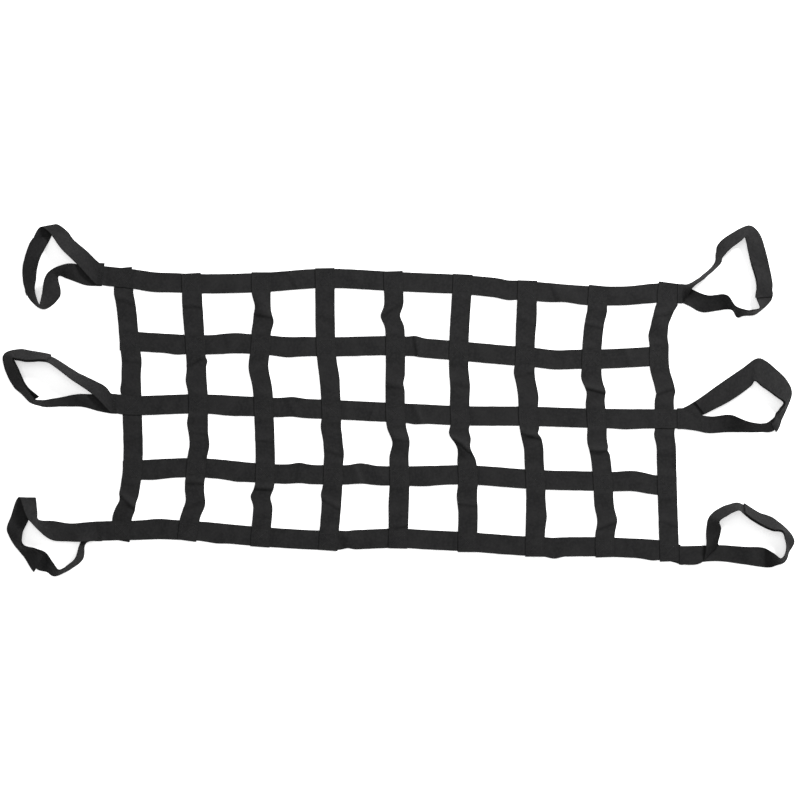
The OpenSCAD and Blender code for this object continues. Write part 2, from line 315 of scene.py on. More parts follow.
class FlatStrap:
    """A strap that lies on the floor or on other straps: a smooth line in plan, and a height over it."""

    def __init__(self, name, stations, crossings, over, seed, bends, folds, cut=None):
        """crossings are station numbers, and over those of them where this strap is the upper one.

        cut is the way that the ends' cut lines run, where that is not square to the strap."""
        self.name = name
        plan = np.array(stations)[:, :2]
        self.line, number, self.run = through(plan, plan, STEP)
        heading = unit(np.gradient(self.line, axis=0))
        self.across = np.stack([-heading[:, 1], heading[:, 0]], axis=1)
        if cut is not None:
            from_end = np.minimum(self.run, self.run[-1] - self.run)
            share = (1 - smooth(from_end, *CUT_REACH))[:, None]
            self.across = unit(self.across * (1 - share) + np.array(cut) * share)
        self.at_crossing = {k: float(np.interp(k, number, self.run)) for k in crossings}
        self.over = over
        self.stacked = []
        self.bends = [(self.run_at(number, a), *(v / 1000 for v in rest)) for a, *rest in bends]
        self.folds = [
            (self.run_at(number, a), tall / 1000, long / 1000, lean) for a, tall, long, lean in folds
        ]
        self.fine = Waves(seed, (0.011, 0.019, 0.031))
        self.broad = Waves(seed + 1, (0.048, 0.083), slant=0.9)
        self.edge = Waves(seed + 2, (0.026, 0.057), slant=0.0)

    def run_at(self, number, k):
        return float(np.interp(k, number, self.run))

    def height(self, s, x):
        """How high the strap's middle surface is over the floor."""
        s, x = np.broadcast_arrays(np.asarray(s, float), np.asarray(x, float))
        raised, free = np.zeros(s.shape), np.ones(s.shape)
        for k, where in self.at_crossing.items():
            near = 1 - smooth(np.abs(s - where), HALF_WIDTH + RISE[0], HALF_WIDTH + RISE[1])
            close = 1 - smooth(np.abs(s - where), HALF_WIDTH + HELD[0], HALF_WIDTH + HELD[1])
            free = np.minimum(free, 1 - close)
            if k in self.over:
                raised = np.maximum(raised, near * (THICK + LAYER_GAP))
        for low, high in self.stacked:
            on = smooth(s, low - STACK_RAMP, low) * (1 - smooth(s, high, high + STACK_RAMP))
            raised = np.maximum(raised, on * (THICK + LAYER_GAP))
        slack = BROAD_WAVE * (1 + self.broad(s, x)) + FINE_WAVE * (1 + self.fine(s, x))
        nap = NAP_WAVE * (1 + self.fine(s * NAP_CLOSER, x))
        z = HALF_THICK + raised + slack * free * SLACK + nap
        loose = np.clip(free * CREASE_SOONER, 0, 1)
        for where, tall, long, lean in self.folds:
            crest = (s - where - lean * x) / abs(long)
            steep = crest * np.sign(long) > 0
            z = z + loose * CREASED * tall * np.exp(-(np.where(steep, crest * STEEPER, crest) ** 2))
        arch = 1 - (x / HALF_WIDTH) ** 2
        for where, minus, plus, reach in self.bends:
            here = np.exp(-(((s - where) / reach) ** 2))
            narrowed = max(minus - plus, 0.0)
            z = z + loose * here * arch * ARCH * math.sqrt(WIDTH * narrowed)
        return z

    def sideways(self, s, x):
        """How far a crease pulls a point of the strap sideways."""
        share = (x / HALF_WIDTH + 1) / 2
        total = EDGE_WANDER * x * self.edge(s, 0 * x)
        for where, minus, plus, reach in self.bends:
            total = total + np.exp(-(((s - where) / reach) ** 2)) * (minus * (1 - share) + plus * share)
        return total

    def point(self, s, x):
        """A point of the strap's middle surface, s along it and x across it."""
        s = np.asarray(s, float)
        p = np.stack([np.interp(s, self.run, self.line[:, k]) for k in (0, 1)], axis=-1)
        a = np.stack([np.interp(s, self.run, self.across[:, k]) for k in (0, 1)], axis=-1)
        x = np.asarray(x, float)
        plan = p + a * (x + self.sideways(s, x))[..., None]
        return np.concatenate([plan, self.height(s, x)[..., None]], axis=-1)

    def build(self):
        x = np.array([p[0] for p in STRAP_PROFILE])
        s, across = np.meshgrid(self.run, x, indexing="ij")
        grid = self.point(s, across)
        normals = grid_normals(grid)
        if normals[..., 2].mean() < 0:
            normals = -normals
        return ribbon(self.name, grid, normals, STRAP_PROFILE, self.run, ends=(CUT_END, CUT_END))


# Where a crease pulls a strap sideways: the station it is at, in parts, how far the edge on the strap's
# minus side moves, the edge on its plus side, and the half length along the strap, in mm. The plus side
# is +Y for a long strap and +X for a cross strap.
LONG_BENDS = {
    1: [(1.48, -3, -2, 30), (7.72, -3, -2, 16), (8.55, 3, 0, 24), (9.4, -1, -2, 34)],
    2: [(1.75, -2, 0, 14), (2.6, 2, 4, 34), (3.4, -4, -2, 28), (5.55, 1, 3, 12), (8.45, -3, -3, 32)],
    3: [(2.5, -2, 0, 25), (3.42, 2, 3, 18), (5.6, -2, 0, 14), (9.4, -2, 0, 24)],
    4: [
        (1.4, -2, 0, 24), (2.6, -2, 0, 20), (3.5, 2, 4, 16), (4.4, 3, 5, 22), (5.8, -2, 0, 26),
        (9.42, 4, 6, 32),
    ],
    5: [(1.6, 1, 3, 28), (2.4, -2, 0, 18), (4.26, 3, -1, 10), (8.27, -4, -1, 14), (9.68, -3, 0, 18)],
}
CROSS_BENDS = {
    1: [(1.3, -2, -2, 16), (2.3, 2, 3, 20), (2.75, -3, 0, 12), (4.47, 3, -2, 9), (4.74, -4, -4, 18)],
    2: [
        (1.5, -2, 0, 40), (2.29, 0, 3, 6), (2.6, -4, -1, 18), (3.3, -3, 0, 14), (3.64, 3, 4, 18),
        (4.5, 6, 7, 20),
    ],
    3: [(1.45, 7, 0, 18), (1.66, 3, 6, 16), (2.36, -7, -6, 30), (4.34, -7, -6, 13)],
    4: [(2.5, 1, 2, 24), (3.27, -4, -2, 18), (3.68, 1, 2, 14), (4.28, -3, 0, 12)],
    5: [(1.58, -8, -8, 15), (2.56, 0, -3, 10), (3.46, 9, 5, 20), (4.4, -2, 0, 30)],
    6: [(2.55, 2, 3, 24), (3.27, -7, -5, 14), (3.56, 5, -8, 17), (4.3, -4, -2, 22)],
    7: [
        (1.45, 0, 2, 30), (2.26, -4, -1, 16), (2.68, 2, 4, 22), (3.29, 0, -4, 6), (3.5, 3, 3, 22),
        (4.5, 0, 3, 20),
    ],
    8: [
        (1.3, 2, 3, 16), (2.28, -3, 0, 12), (2.56, 5, 4, 14), (3.35, -4, -3, 22), (3.52, 0, -3, 5),
        (4.54, 5, 6, 20),
    ],
    9: [
        (1.22, 2, 5, 9), (1.55, -2, -6, 20), (1.72, -4, -3, 14), (2.5, 6, 6, 26), (2.6, 2, 2, 7),
        (3.24, -4, -2, 14),
    ],
}
# Creases that stand up from a strap: the station, the height and the half length in mm, and how far the
# crest leans along the strap for each step across it. The side past the crest is the steeper one, or the
# side before it where the half length is below 0.
STEEPER = 3.0
CREASED = 0.75  # how much of its height a crease keeps in a net that lies slack
ARCH = 0.30  # how much of the width that a bend takes turns into height
LONG_FOLDS = {
    1: [
        (1.6, 1.6, 10, 0.4), (3.5, 2.2, -12, -0.5), (7.6, 1.4, -14, 0.3), (8.4, 2.0, -10, -0.6),
        (9.4, 1.2, 9, 0.5),
    ],
    2: [
        (2.5, 1.8, -13, -0.3), (4.5, 2.6, 14, 0.4), (5.62, 4.5, -8, -0.3), (8.6, 1.6, -10, 0.2),
        (9.5, 2.0, 14, -0.4),
    ],
    3: [
        (1.5, 2.4, -15, 0.5), (3.4, 1.6, -11, -0.6), (4.62, 3.0, -9, 0.3), (5.7, 3.2, 9, -0.5),
        (8.5, 2.2, -12, 0.5),
    ],
    4: [
        (1.5, 2.0, 12, 0.3), (3.5, 2.0, -12, 0.2), (4.35, 3.2, 12, -0.4), (8.4, 1.8, -13, 0.5),
        (9.35, 4.0, -16, 0.4),
    ],
    5: [
        (2.5, 2.2, 14, -0.3), (4.28, 2.6, -9, 0.4), (7.5, 2.2, -14, 0.2), (8.4, 2.4, 12, 0.4),
        (9.35, 3.4, 10, -0.1),
    ],
}
CROSS_FOLDS = {
    1: [(1.42, 2.6, 11, 0.5), (2.3, 2.0, 9, 0.2), (3.5, 1.6, 12, -0.3), (4.46, 4.0, 9, 0.6)],
    2: [
        (1.42, 2.6, 10, 0.1), (2.27, 4.6, 7, -0.5), (3.45, 1.8, 9, 0.1), (4.22, 3.0, 9, -0.1),
        (4.5, 3.4, 11, -0.7),
    ],
    3: [(1.56, 4.0, 12, 0.2), (2.4, 2.0, 12, -0.3), (3.5, 1.8, 9, 0.1), (4.22, 4.0, 7, 0.0)],
    4: [(1.6, 1.6, 13, 0.4), (3.65, 2.2, 10, 0.4), (4.4, 2.8, 9, 0.5)],
    5: [(1.47, 5.0, 7, -0.75), (2.6, 1.8, 10, 0.1), (3.42, 2.6, 12, 0.1), (4.78, 4.0, 8, -0.45)],
    6: [(1.5, 1.6, 12, -0.4), (2.5, 1.6, 12, 0.3), (3.5, 5.5, 8, 0.95), (4.4, 2.2, 9, 0.1)],
    7: [(1.5, 1.8, 13, 0.4), (2.28, 2.0, 9, -0.2), (3.3, 3.4, 8, 0.5), (4.1, 3.0, 7, 0.0)],
    8: [(1.52, 2.6, 9, 0.1), (2.52, 5.2, 8, 0.4), (3.5, 4.2, 7, 0.1), (4.6, 3.4, 9, -0.4)],
    9: [(1.4, 3.4, 12, -0.4), (2.56, 3.4, 8, -0.2), (3.5, 1.8, 14, 0.1), (4.5, 1.8, 12, 0.4)],
}


# ---- materials ----


class Graph:
    """Short calls for a material's nodes."""

    def __init__(self, name):
        self.material = bpy.data.materials.new(name)
        self.material.use_nodes = True
        self.tree = self.material.node_tree
        self.tree.nodes.clear()
        out = self.tree.nodes.new("ShaderNodeOutputMaterial")
        self.shader = self.tree.nodes.new("ShaderNodeBsdfPrincipled")
        self.tree.links.new(self.shader.outputs[0], out.inputs[0])

    def put(self, socket, value):
        if isinstance(value, bpy.types.NodeSocket):
            self.tree.links.new(value, socket)
        elif value is not None:
            socket.default_value = value

    def math(self, operation, a, b=None, c=None):
        n = self.tree.nodes.new("ShaderNodeMath")
        n.operation = operation
        for socket, value in zip(n.inputs, (a, b, c)):
            self.put(socket, value)
        return n.outputs[0]

    def along(self):
        """Across and along the strap, in metres."""
        n = self.tree.nodes.new("ShaderNodeUVMap")
        n.uv_map = "Along"
        split = self.tree.nodes.new("ShaderNodeSeparateXYZ")
        self.tree.links.new(n.outputs[0], split.inputs[0])
        return n.outputs[0], split.outputs[0], split.outputs[1]

    def place(self):
        n = self.tree.nodes.new("ShaderNodeTexCoord")
        return n.outputs["Object"]

    def noise(self, vector, scale, detail=3.0, rough=0.55):
        n = self.tree.nodes.new("ShaderNodeTexNoise")
        self.put(n.inputs["Vector"], vector)
        n.inputs["Scale"].default_value = scale
        n.inputs["Detail"].default_value = detail
        n.inputs["Roughness"].default_value = rough
        return n.outputs[0]

    def ramp(self, value, low, high, to_low=0.0, to_high=1.0):
        n = self.tree.nodes.new("ShaderNodeMapRange")
        n.interpolation_type = "SMOOTHSTEP"
        for socket, v in zip(n.inputs, (value, low, high, to_low, to_high)):
            self.put(socket, v)
        return n.outputs[0]

    def mix(self, share, a, b):
        n = self.tree.nodes.new("ShaderNodeMix")
        n.data_type = "RGBA"
        self.put(n.inputs[0], share)
        for socket, value in ((n.inputs[6], a), (n.inputs[7], b)):
            self.put(socket, (*value, 1) if isinstance(value, tuple) else value)
        return n.outputs[2]

    def bump(self, height, strength, distance, base=None):
        n = self.tree.nodes.new("ShaderNodeBump")
        n.inputs["Strength"].default_value = strength
        n.inputs["Distance"].default_value = distance
        self.put(n.inputs["Height"], height)
        self.put(n.inputs["Normal"], base)
        return n.outputs[0]


RIB = 0.0019  # width of one lengthwise rib of the webbing
PICK = 0.0021  # length of one pick of the weave along a rib
WORN_AND_SHADED_EDGE = (0.0168, 0.0186)  # from the middle, where the band at the edge starts and is full: the edge is worn there, and darkened with painted shade
HOOK_COLUMN, HOOK_ROW = 0.0014, 0.0016  # spacing of the hook tape's hooks


def webbing_material():
    g = Graph("black_webbing")
    uv, x, y = g.along()
    ribs = g.math("DIVIDE", x, RIB)
    across = g.math("MULTIPLY", g.math("FRACT", g.math("ADD", ribs, 0.5)), 2.0)
    inside = g.math("ABSOLUTE", g.math("SUBTRACT", across, 1.0))
    crown = g.math("SUBTRACT", 1.0, g.math("POWER", inside, 2.4))
    zigzag = g.math("PINGPONG", ribs, 1.0)
    phase = g.math("ADD", g.math("DIVIDE", y, PICK), g.math("MULTIPLY", zigzag, 0.9))
    pick = g.math("SINE", g.math("MULTIPLY", phase, 2 * math.pi))
    weave = g.math("ADD", g.math("MULTIPLY", crown, 0.65), g.math("MULTIPLY", pick, 0.20))
    fuzz = g.noise(uv, 2600.0, 2.0)
    soft = g.noise(uv, 34.0, 4.0)
    mottle = g.noise(uv, 190.0, 4.0, 0.65)
    broad = g.noise(g.place(), 7.0, 3.0)
    stretch = g.noise(uv, 260.0, 3.0)
    edge = g.ramp(g.math("ABSOLUTE", x), *WORN_AND_SHADED_EDGE)
    wear = g.math("MULTIPLY", edge, g.ramp(stretch, 0.40, 0.68))
    base = g.mix(g.ramp(soft, 0.30, 0.72), (0.0112, 0.0112, 0.0115), (0.0180, 0.0178, 0.0180))
    base = g.mix(g.math("MULTIPLY", g.ramp(mottle, 0.40, 0.64), 0.36), base, (0.0268, 0.0265, 0.0265))
    base = g.mix(g.math("MULTIPLY", g.ramp(broad, 0.45, 0.75), 0.40), base, (0.0203, 0.0201, 0.0203))
    # painted shade: darker in the grooves between the ribs
    base = g.mix(g.math("MULTIPLY", g.math("SUBTRACT", 1.0, crown), 0.55), base, (0.0042, 0.0042, 0.0046))
    # painted shade: a dark outline along the strap's rounded edge
    base = g.mix(g.math("MULTIPLY", edge, 0.60), base, (0.0055, 0.0054, 0.0054))
    base = g.mix(g.math("MULTIPLY", wear, 0.35), base, (0.0332, 0.0323, 0.0319))
    g.put(g.shader.inputs["Base Color"], base)
    rough = g.math("ADD", g.ramp(soft, 0.2, 0.8, 0.56, 0.74), g.math("MULTIPLY", fuzz, 0.16))
    g.put(g.shader.inputs["Roughness"], rough)
    g.shader.inputs["Specular IOR Level"].default_value = 0.04
    normal = g.bump(weave, 0.65, 0.00035)
    normal = g.bump(fuzz, 0.20, 0.00010, normal)
    g.put(g.shader.inputs["Normal"], normal)
    return g.material


def loop_material():
    g = Graph("loop_pile")
    uv = g.along()[0]
    curls = g.tree.nodes.new("ShaderNodeTexVoronoi")
    curls.inputs["Scale"].default_value = 1300.0
    g.put(curls.inputs["Vector"], uv)
    nap = g.noise(uv, 900.0, 5.0, 0.7)
    patch = g.noise(uv, 60.0, 3.0)
    base = g.mix(g.ramp(patch, 0.3, 0.7), (0.0060, 0.0060, 0.0063), (0.0105, 0.0104, 0.0106))
    base = g.mix(g.math("MULTIPLY", g.ramp(nap, 0.45, 0.8), 0.5), base, (0.0200, 0.0198, 0.0200))
    g.put(g.shader.inputs["Base Color"], base)
    g.put(g.shader.inputs["Roughness"], g.ramp(nap, 0.2, 0.8, 0.84, 0.98))
    g.shader.inputs["Specular IOR Level"].default_value = 0.06
    g.shader.inputs["Sheen Weight"].default_value = 0.02
    g.shader.inputs["Sheen Roughness"].default_value = 0.6
    normal = g.bump(nap, 0.9, 0.0005)
    g.put(g.shader.inputs["Normal"], g.bump(curls.outputs["Distance"], 0.7, 0.0004, normal))
    return g.material


def hook_material():
    g = Graph("hook_tape")
    uv, x, y = g.along()
    column = g.math("SINE", g.math("MULTIPLY", x, 2 * math.pi / HOOK_COLUMN))
    row = g.math("SINE", g.math("MULTIPLY", y, 2 * math.pi / HOOK_ROW))
    hooks = g.ramp(g.math("MULTIPLY", column, row), 0.05, 0.55)
    bend = g.noise(uv, 1100.0, 2.0)
    patch = g.noise(uv, 55.0, 3.0)
    base = g.mix(g.ramp(patch, 0.3, 0.7), (0.0070, 0.0070, 0.0073), (0.0120, 0.0119, 0.0121))
    base = g.mix(g.math("MULTIPLY", hooks, 0.6), base, (0.0260, 0.0257, 0.0260))
    g.put(g.shader.inputs["Base Color"], base)
    g.put(g.shader.inputs["Roughness"], g.ramp(bend, 0.2, 0.8, 0.48, 0.66))
    g.shader.inputs["Specular IOR Level"].default_value = 0.12
    normal = g.bump(g.math("ADD", hooks, g.math("MULTIPLY", bend, 0.4)), 0.9, 0.0006)
    g.put(g.shader.inputs["Normal"], normal)
    return g.material


THREAD_TONES = (0.0050, 0.0050, 0.0053), (0.0100, 0.0099, 0.0100), (0.0160, 0.0158, 0.0158)


def thread_material(name, tone):
    """Sewing thread; tone is how light it is."""
    g = Graph(name)
    place = g.place()
    twist = g.tree.nodes.new("ShaderNodeTexWave")
    twist.bands_direction = "DIAGONAL"
    twist.inputs["Scale"].default_value = 700.0
    twist.inputs["Distortion"].default_value = 1.5
    g.put(twist.inputs["Vector"], place)
    lot = g.noise(place, 90.0, 3.0)
    dark, light, glint = (tuple(tone * v for v in c) for c in THREAD_TONES)
    base = g.mix(g.ramp(lot, 0.3, 0.7), dark, light)
    base = g.mix(g.math("MULTIPLY", g.ramp(twist.outputs[1], 0.5, 0.9), 0.5), base, glint)
    g.put(g.shader.inputs["Base Color"], base)
    g.put(g.shader.inputs["Roughness"], g.ramp(lot, 0.2, 0.8, 0.50, 0.68))
    g.shader.inputs["Specular IOR Level"].default_value = 0.3
    g.put(g.shader.inputs["Normal"], g.bump(twist.outputs[1], 0.5, 0.00012))
    return g.material


WEBBING, LOOP, HOOK = webbing_material(), loop_material(), hook_material()
# the seam thread at a quarter of the box thread's tone is painted shade: the dark line of the groove at a
# strap's sewn end
BOX_THREAD, SHADED_SEAM_THREAD = thread_material("black_thread", 1.0), thread_material("seam_thread_painted_shade", 0.25)


def dress(obj, material, shows):
    """Gives a piece its material, and says which CAD nodes it shows."""
    obj.data.materials.append(material)
    face_outwards(obj)
    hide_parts(*shows)
    return obj


# ---- floor ----


FLOOR_SIDE = 40.0
FLOOR_LOW = 0.0004  # how far the floor's face is under the net
FLOOR_GLOW = 0.50  # keeps the floor as white as the studio paper


def make_floor():
    bpy.ops.mesh.primitive_grid_add(
        x_subdivisions=8, y_subdivisions=8, size=FLOOR_SIDE, location=(0, 0, -FLOOR_LOW)
    )
    floor = bpy.context.object
    floor.name = "floor"
    g = Graph("white_floor")
    mottle = g.noise(g.place(), 3.0, 3.0)
    g.put(g.shader.inputs["Base Color"], g.mix(mottle, (0.90, 0.90, 0.90), (0.93, 0.93, 0.93)))
    g.shader.inputs["Roughness"].default_value = 0.9
    g.shader.inputs["Specular IOR Level"].default_value = 0.1
    g.shader.inputs["Emission Color"].default_value = (1, 1, 1, 1)
    g.shader.inputs["Emission Strength"].default_value = FLOOR_GLOW
    floor.data.materials.append(g.material)
    return floor


FLOOR = make_floor()

# ---- the net ----

long_stations, cross_stations = {}, {}
for r in ROWS:
    left = flat_stations(f"long_strap_{r}_left", 0)
    right = flat_stations(f"long_strap_{r}_right", 0)
    long_stations[r] = left[:-1] + [(left[-1] + right[0]) / 2] + right[1:]
for c in COLUMNS:
    cross_stations[c] = flat_stations(f"cross_strap_{c}", 1)[::-1]


def long_number(c):
    """Which station of a long strap is its crossing with cross strap c."""
    return c if c <= LAST_LEFT else c + 1


long_straps, cross_straps = {}, {}
for r in ROWS:
    strap = FlatStrap(
        f"long_strap_{r}",
        long_stations[r],
        [long_number(c) for c in COLUMNS],
        {long_number(c) for c in COLUMNS if (r, c) in LONG_ON_TOP},
        seed=10 * r,
        bends=LONG_BENDS[r],
        folds=LONG_FOLDS[r],
        cut=(0, 1),
    )
    long_straps[r] = strap
for c in COLUMNS:
    cross_straps[c] = FlatStrap(
        f"cross_strap_{c}_cloth",
        cross_stations[c],
        list(ROWS),
        {r for r in ROWS if (r, c) not in LONG_ON_TOP},
        seed=100 + 10 * c,
        bends=CROSS_BENDS[c],
        folds=CROSS_FOLDS[c],
    )

# ---- the ties ----

TIES = [(r, side) for side in ("left", "right") for r in (1, 3, 5)]
OVERLAP = 0.007  # how far an arm is sewn on over its long strap
OUTWARD_PULL = 2  # how much more a sewn end points straight outward than along its long strap
# rows of stitches across a strap's end, inward from the arms' first station
SEAMS = {
    "1_left": (0.0012, 0.0034, 0.0080),
    "3_left": (0.0035, 0.0056, 0.0078),
    "5_left": (0.0035, 0.0058, 0.0081),
    "1_right": (0.0040,),
    "3_right": (0.0040,),
    "5_right": (0.0040,),
}
# rows of stitches across an arm beyond the root, on the loop arm or the hook arm: how far out from the root
# they are at the first edge and at the second
ARM_SEAMS = {
    "3_left": ("loop_arm", [(0.028, 0.026)]),
    "3_right": ("hook_arm", [(0.041, 0.034), (0.054, 0.054)]),
}
# How some stations lie in the cloth, in mm off the CAD's plain shape: outward, Y and up, for the first
# edge and then for the second. Stations are numbered as in the CAD's loop, from the loop arm's root, where
# the first edge is the one at +Y.
SHAPE = {
    "1_left": {0: ((-6, 5, 0), (0, 0, 0)), 4: ((15, 5, 0), (0, 0, 0))},
    "3_left": {2: ((0, 0, 0), (-2, 3, 0)), 3: ((0, 0, 0), (-2, 3, 0))},
    "1_right": {17: ((-2, 1, 0), (0, 0, 0)), 18: ((-3, 2, 0), (0, 0, 0))},
}
# how far the loop arm's end and the tab's tip are closed askew, in mm towards the second edge
ASKEW = {
    "1_left": (4, 0),
    "3_left": (6, 0),
    "5_left": (2, 7),
    "1_right": (2, -4),
    "3_right": (-8, 0),
    "5_right": (3, 0),
}
ASKEW_REACH = 0.030
ROUNDING = 1e-6
SEWN_PAST = 0.0025  # how much further in than the overlap an arm's cut end is
SEWN_NEAR = 0.003  # how far in from an arm's first station the cloth already lies flat
SEAM_CLEAR = 0.002  # between an arm's cut end and the first cross strap
LEAST_OVERLAP = 0.003
UPPER_LEVEL = 2.5 * THICK + 2 * LAYER_GAP  # the middle of an arm on top of the strap and the other arm
TIE_RIPPLE = 0.00035  # height of the small waves along an arm
CALM = (0.02, 0.05)  # from the sewn ends, where the waves start and are full
SPLIT_ROWS = 3  # how many rows past the hinge the tab's mesh meets the arm's
TAPE_GAP = 0.00005  # between a tape and the webbing under it


class Tie:
    """A tie: its two arms and its tab are stretches of one ribbon, which runs round the ring."""

    def __init__(self, r, side):
        self.key = f"{r}_{side}"
        self.seed = sum(map(ord, self.key))
        self.body, self.tab_body, self.net = f"tie_{self.key}", f"tab_{self.key}", f"net_{side}"
        self.out = np.array([-1.0 if side == "left" else 1.0, 0, 0])
        self.root = np.array(joint(f"tie_{self.key}_swing")["pos_m"])
        self.peel = np.array(joint(f"tab_{self.key}_peel")["pos_m"])
        strap = long_straps[r]
        end, crossing = (0, 1) if side == "left" else (-1, -2)
        heading = unit(long_stations[r][end] - long_stations[r][crossing])
        self.way = unit(heading * [1, 1, 0] + OUTWARD_PULL * self.out)
        edge = cross_stations[1 if side == "left" else 9][r][0] + self.out[0] * HALF_WIDTH
        self.overlap = float(np.clip(abs(self.root[0] - edge) - SEAM_CLEAR, LEAST_OVERLAP, OVERLAP))
        if side == "left":
            strap.stacked.append((0.0, self.overlap))
        else:
            strap.stacked.append((strap.run[-1] - self.overlap, strap.run[-1]))

        loop = rulings(f"loop_arm_{self.key}", self.root)
        hook = rulings(f"hook_arm_{self.key}", self.root)[::-1]
        tab = rulings(f"hook_tab_{self.key}", self.peel)[::-1]
        middles = loop.mean(1)
        self.tip = int(np.argmin(np.linalg.norm(middles - tab[0].mean(0), axis=1)))
        self.hinge = self.tip + len(tab) - 1
        self.loop_end = len(loop) - 1
        ring = same_way(np.concatenate([loop, hook[self.loop_end + 1 - self.hinge:]]))
        if ring[0, 0, 1] < ring[0, 1, 1]:
            ring = ring[:, ::-1]
        apart = tab[0].mean(0) - middles[self.tip]
        outwards = np.array([self.out[0], 1, 1]) / 1000
        for k, offsets in SHAPE.get(self.key, {}).items():
            ring[k] += np.array(offsets) * outwards
        ring = self.sewn_on(ring)
        # two stations were added at the front
        self.tip, self.hinge, self.loop_end = self.tip + 2, self.hinge + 2, self.loop_end + 2
        flat = ring.reshape(len(ring), 6)
        curve, self.number, self.run = through(flat, ring.mean(1), STEP)
        self.a, self.b = curve[:, :3], curve[:, 3:]
        self.middle = (self.a + self.b) / 2
        heading = unit(np.gradient(self.middle, axis=0))
        self.normal = unit(np.cross(heading, self.b - self.a))
        k = int(np.argmin(np.abs(self.number - self.tip)))
        self.up = float(np.sign(np.dot(apart, self.normal[k])))
        self.lift = float(np.linalg.norm(apart))
        self.total = len(ring) - 1

    def sewn_on(self, ring):
        """Adds the stretch of each arm that is sewn over or under the long strap's end."""
        ends = []
        for first, z in ((ring[0], ring[0, 0, 2]), (ring[-1], ring[-1, 0, 2])):
            upper = z > self.root[2] / 2
            level = UPPER_LEVEL if upper else HALF_THICK
            near = first - self.way * SEWN_NEAR
            far = first - self.way * (self.overlap + SEWN_PAST)
            near[:, 2], far[:, 2] = level, level
            ends.append((far, near))
            if upper:
                self.seam_from = first.mean(0) * [1, 1, 0] + [0, 0, level + HALF_THICK]
                self.seam_across = unit((first[1] - first[0]) * [1, 1, 0])
        return np.concatenate([[ends[0][0], ends[0][1]], ring, [ends[1][1], ends[1][0]]])

    def grid(self, first, last, lift, profile, skew):
        """The middle surface of the stretch between two stations.

        lift is how far it is off the ring, or a function of the station, and skew moves the two ends
        sideways, in mm."""
        keep = (self.number >= first - ROUNDING) & (self.number <= last + ROUNDING)
        x = np.array([p[0] for p in profile])
        run = self.run[keep]
        share = x / HALF_WIDTH
        middle = self.middle[keep][:, None, :]
        half = ((self.b - self.a) / 2)[keep][:, None, :]
        height = np.broadcast_to(lift(self.number[keep]) if callable(lift) else lift, run.shape)[:, None]
        s, across = np.meshgrid(run, x, indexing="ij")
        calm = smooth(s, self.run[0] + CALM[0], self.run[0] + CALM[1])
        calm = calm * (1 - smooth(s, self.run[-1] - CALM[1], self.run[-1] - CALM[0]))
        ripple = TIE_RIPPLE * Waves(self.seed, (0.017, 0.029))(s, across) * calm
        base = middle + half * share[None, :, None]
        normal = (self.up * self.normal[keep])[:, None, :]
        at_start = 1 - smooth(run, run[0], run[0] + ASKEW_REACH)
        at_end = smooth(run, run[-1] - ASKEW_REACH, run[-1])
        pulled = (skew[0] * at_start + skew[1] * at_end)[:, None, None] / 1000
        grid = base + normal * (height + ripple)[..., None] + unit(half * [1, 1, 0]) * pulled
        return grid, run - run[0]

    def piece(self, name, first, last, lift, profile, material, shows, ends, skew=(0, 0), width=WIDTH):
        """The stretch between two stations as a piece of cloth."""
        grid, run = self.grid(first, last, lift, profile, skew)
        self.cloth[name.removesuffix(f"_{self.key}_cloth")] = grid, run
        normals = grid_normals(grid)
        obj = ribbon(name, grid, normals, profile, run, ends=ends)
        return dress(obj, material, shows)

    def raised(self, number):
        """How far the hook arm lies off the loop arm, falling away past the loop arm's end."""
        return self.lift * (1 - smooth(number, self.loop_end, self.loop_end + 1.0))

    def build(self):
        """Makes the tie's five pieces. cloth keeps the arms' surfaces, for the stitches on them."""
        k = self.key
        self.cloth = {}
        cut, joined = CUT_END, 1.0
        loop_skew, tab_skew = ASKEW[k]
        at = int(np.argmin(np.abs(self.number - self.hinge)))
        split_number = self.number[min(at + SPLIT_ROWS, len(self.number) - 1)]
        loop = self.piece(f"loop_arm_{k}_cloth", 0, self.loop_end, 0.0, STRAP_PROFILE, WEBBING,
                          [f"loop_arm_{k}"], (cut, cut), (0, loop_skew))
        hook = self.piece(f"hook_arm_{k}_cloth", split_number, self.total, self.raised, STRAP_PROFILE,
                          WEBBING, [f"hook_arm_{k}"], (joined, cut))
        tab = self.piece(f"hook_tab_{k}_cloth", self.tip, split_number, self.lift, STRAP_PROFILE, WEBBING,
                         [f"hook_tab_{k}"], (cut, joined), (tab_skew, 0))
        loop_lift = HALF_THICK + TAPE_THICK / 2 + TAPE_GAP
        hook_lift = self.lift - loop_lift
        loop_tape = self.piece(f"loop_tape_{k}_pile", self.tip, self.loop_end, loop_lift, TAPE_PROFILE,
                               LOOP, [f"loop_tape_{k}"], (1, 1), (0, loop_skew), TAPE_WIDTH)
        hook_tape = self.piece(f"hook_tape_{k}_hooks", self.tip, self.hinge, hook_lift, TAPE_PROFILE, HOOK,
                               [f"hook_tape_{k}"], (1, 1), (tab_skew, 0), TAPE_WIDTH)
        for arm in (loop, hook):
            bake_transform(arm)
        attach(loop_tape, self.body)
        for piece in (tab, hook_tape):
            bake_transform(piece)


ties = [Tie(r, side) for r, side in TIES]

for r in ROWS:
    obj = long_straps[r].build()
    halves = [f"long_strap_{r}_left", f"long_strap_{r}_right"]
    dress(obj, WEBBING, halves)
    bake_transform(obj)
for c in COLUMNS:
    obj = cross_straps[c].build()
    dress(obj, WEBBING, [f"cross_strap_{c}"])
    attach(obj, "net_left" if c <= LAST_LEFT else "net_right")
for tie in ties:
    tie.build()

# ---- stitching ----

PITCH = 0.0032
GAP_SHARE = 0.1  # how much of a pitch is free at each end of a stitch
THREAD = 0.00055
